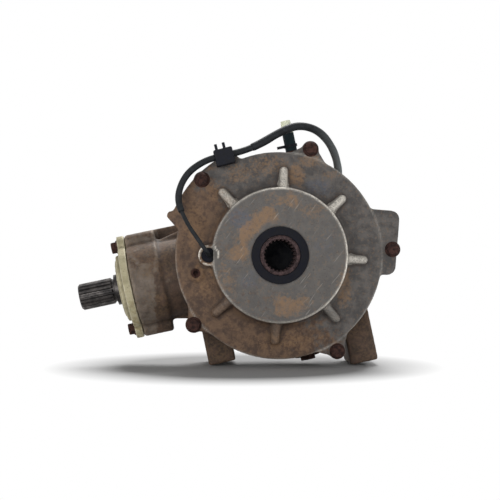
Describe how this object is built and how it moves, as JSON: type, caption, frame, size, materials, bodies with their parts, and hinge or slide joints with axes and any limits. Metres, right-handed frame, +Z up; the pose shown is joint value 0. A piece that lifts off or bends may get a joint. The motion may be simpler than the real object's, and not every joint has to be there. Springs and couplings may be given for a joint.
{
  "type": "ring and pinion gear set",
  "caption": "Front gearcase with a bevel ring and pinion, an electric roller clutch, two splined output hubs, a splined input shaft and a two-wire lead.",
  "frame": {"origin": "centre of the mouth of the cover-side output hub", "axes": "+Y along the output axis away from the cover side, +Z up as the case rests on its feet, +X away from the input shaft; the case leans 12 degrees about Y, so its pinion axis points to -X and a little down"},
  "size_m": [0.2906, 0.1431, 0.2247],
  "materials": {
    "housing_cast": "weathered sand casting",
    "cover_cast": "weathered sand casting",
    "plate_cast": "worn plate casting",
    "gear_steel": "ground, case hardened",
    "spline_steel": "machined, dark",
    "bearing_steel": "ground",
    "rusty_steel": "rusted fastener",
    "hub_steel": "machined, stained",
    "bush_bronze": "sintered bronze",
    "seal_rubber": "moulded",
    "hose_rubber": "moulded",
    "lead_plastic": "extruded sleeve",
    "clip_plastic": "moulded nylon",
    "coil_steel": "potted coil in a steel cup",
    "cap_plastic": "moulded"
  },
  "bodies": {
    "gearcase": {"backlash_screw": "rusty_steel", "bearing_spacer_sleeve": "gear_steel", "clutch_coil": "coil_steel", "cover_bolts": "rusty_steel", "cover_oring": "seal_rubber", "drain_plug": "rusty_steel", "fill_plug": "rusty_steel", "front_bearing_outer_race": "bearing_steel", "front_drum_bush": "bush_bronze", "front_output_seal": "seal_rubber", "gearcase_housing": "housing_cast", "harness_clip": "clip_plastic", "input_cover": "plate_cast", "input_cover_bolts": "rusty_steel", "input_cover_oring": "seal_rubber", "input_seal": "seal_rubber", "lead_connector": "clip_plastic", "lead_grommet": "seal_rubber", "lead_sleeve_front": "lead_plastic", "lead_sleeve_rear": "lead_plastic", "lead_wires": "lead_plastic", "output_cover": "cover_cast", "pinion_inner_bearing_outer_race": "bearing_steel", "pinion_outer_bearing_outer_race": "bearing_steel", "rear_bearing_outer_race": "bearing_steel", "rear_drum_bush": "bush_bronze", "rear_output_seal": "seal_rubber", "vent_cap": "cap_plastic", "vent_fitting": "rusty_steel", "vent_hose_clamp": "rusty_steel", "vent_hose_stub": "hose_rubber"},
    "ring_drum": {"ring_gear": "gear_steel", "ring_gear_screws": "rusty_steel", "clutch_drum": "gear_steel"},
    "cage": {"roll_cage": "clip_plastic", "clutch_rollers": "bearing_steel", "armature_plate": "gear_steel"},
    "front_hub": {"front_output_hub": "hub_steel", "front_hub_plug": "rusty_steel", "front_bearing_inner_race": "bearing_steel", "front_bearing_balls": "bearing_steel"},
    "rear_hub": {"rear_output_hub": "hub_steel", "rear_hub_plug": "rusty_steel", "rear_bearing_inner_race": "bearing_steel", "rear_bearing_balls": "bearing_steel", "hub_thrust_washer": "bush_bronze"},
    "pinion": {"pinion_shaft": "spline_steel", "pinion_spacer": "gear_steel", "pinion_inner_bearing_inner_race": "bearing_steel", "pinion_inner_bearing_rollers": "bearing_steel", "pinion_outer_bearing_inner_race": "bearing_steel", "pinion_outer_bearing_rollers": "bearing_steel"}
  },
  "joints": [
    {"name": "ring_spin", "type": "hinge", "parent": "gearcase", "child": "ring_drum", "pos_m": [0, 0.065, 0], "axis": [0, 1, 0], "continuous": true},
    {"name": "pinion_spin", "type": "hinge", "parent": "gearcase", "child": "pinion", "pos_m": [0, 0.06542, 0], "axis": [-0.9781, 0, -0.2079], "continuous": true},
    {"name": "cage_index", "type": "hinge", "parent": "ring_drum", "child": "cage", "pos_m": [0, 0.06, 0], "axis": [0, 1, 0], "range_deg": [-1.5, 1.5], "stiffness_Nm_per_rad": 2},
    {"name": "front_hub_spin", "type": "hinge", "parent": "gearcase", "child": "front_hub", "pos_m": [0, 0.03, 0], "axis": [0, 1, 0], "continuous": true},
    {"name": "rear_hub_spin", "type": "hinge", "parent": "gearcase", "child": "rear_hub", "pos_m": [0, 0.095, 0], "axis": [0, 1, 0], "continuous": true}
  ],
  "couplings": [
    {"joint": "pinion_spin", "follows": "ring_spin", "ratio": 3.2727}
  ]
}
